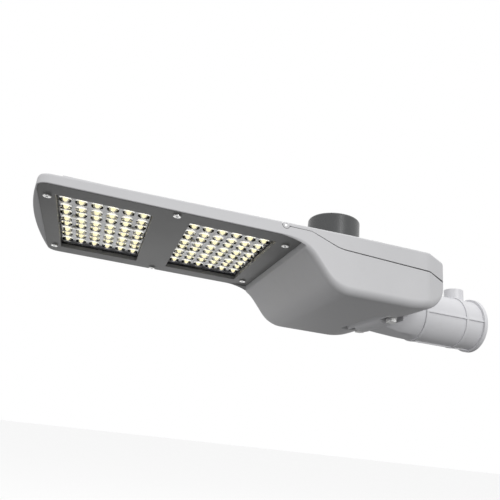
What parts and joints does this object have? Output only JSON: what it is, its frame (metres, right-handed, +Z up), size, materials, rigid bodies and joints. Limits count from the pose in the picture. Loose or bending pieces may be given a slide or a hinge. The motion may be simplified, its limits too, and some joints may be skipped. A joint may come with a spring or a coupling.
{
  "type": "street lamp head",
  "caption": "Roadway LED lamp head for a split solar street light: finned light tray, hinged gear lid, twist-lock control cap and tilting pole spigot.",
  "frame": {"origin": "centre of the spigot's open mouth, where the pole end enters", "axes": "+X leaves the mouth towards the pole, the lamp's nose points along -X, +Z is up with the lenses facing down"},
  "size_m": [0.613, 0.24, 0.1522],
  "materials": {
    "cast_aluminium": "light grey polyester powder coat on cast aluminium, satin, fine orange peel",
    "frame_paint": "dark grey satin powder coat",
    "steel": "bright stainless",
    "lens_clear": "clear moulded optic, glossy",
    "seal_black": "black silicone",
    "board_white": "white solder mask",
    "led_phosphor": "yellow phosphor",
    "driver_case": "bare extruded case",
    "black_plastic": "moulded nylon",
    "ivory_plastic": "moulded nylon",
    "brass": "plain",
    "wire_red": "wire insulation",
    "wire_blue": "wire insulation",
    "socket_plastic": "moulded socket",
    "cap_plastic": "dark grey moulded cap, satin"
  },
  "bodies": {
    "spigot": {"spigot": "cast_aluminium", "pole_screw": "steel"},
    "head": {"main_housing": "cast_aluminium", "lens_frame": "frame_paint", "frame_screws": "steel", "lens_front": "lens_clear", "lens_rear": "lens_clear", "lens_seal_front": "seal_black", "lens_seal_rear": "seal_black", "led_board_front": "board_white", "led_board_rear": "board_white", "leds_front": "led_phosphor", "leds_rear": "led_phosphor", "lens_screws_front": "steel", "lens_screws_rear": "steel", "led_driver": "driver_case", "driver_screws": "steel", "surge_protector": "black_plastic", "terminal_block": "ivory_plastic", "terminal_screws": "brass", "cable_gland": "black_plastic", "gland_nut": "black_plastic", "earth_screw": "brass", "vent_plug": "black_plastic", "board_leads": "wire_red", "link_leads": "wire_red", "driver_leads": "wire_blue", "lid_seal": "seal_black", "hinge_pin_near": "steel", "hinge_pin_far": "steel", "tilt_bolts": "steel", "tilt_washers": "steel"},
    "lid": {"gear_lid": "cast_aluminium", "screw_retainers": "black_plastic", "socket_seal": "seal_black", "socket_nut": "black_plastic"},
    "near_screw": {"lid_screw_near": "steel"},
    "far_screw": {"lid_screw_far": "steel"},
    "socket": {"sensor_socket": "socket_plastic", "socket_contacts": "brass", "sensor_leads": "wire_red", "sensor_plug": "ivory_plastic"},
    "cap": {"cap_shell": "cap_plastic", "cap_base": "black_plastic", "cap_blades": "brass", "cap_seal": "seal_black", "shorting_link": "brass"}
  },
  "joints": [
    {"name": "tilt", "type": "hinge", "parent": "spigot", "child": "head", "pos_m": [-0.1552, 0, -0.006], "axis": [0, 1, 0], "range_deg": [-10, 10]},
    {"name": "lid_hinge", "type": "hinge", "parent": "head", "child": "lid", "pos_m": [-0.337, 0, 0.0422], "axis": [0, -1, 0], "range_deg": [0, 70]},
    {"name": "near_screw_lift", "type": "slide", "parent": "lid", "child": "near_screw", "axis": [0, 0, 1], "range_m": [0, 0.0064]},
    {"name": "far_screw_lift", "type": "slide", "parent": "lid", "child": "far_screw", "axis": [0, 0, 1], "range_m": [0, 0.0064]},
    {"name": "socket_turn", "type": "hinge", "parent": "lid", "child": "socket", "pos_m": [-0.225, 0, 0.055], "axis": [0, 0, 1], "range_deg": [-170, 170]},
    {"name": "cap_twist", "type": "hinge", "parent": "socket", "child": "cap", "pos_m": [-0.225, 0, 0.075], "axis": [0, 0, 1], "range_deg": [0, 35]}
  ]
}
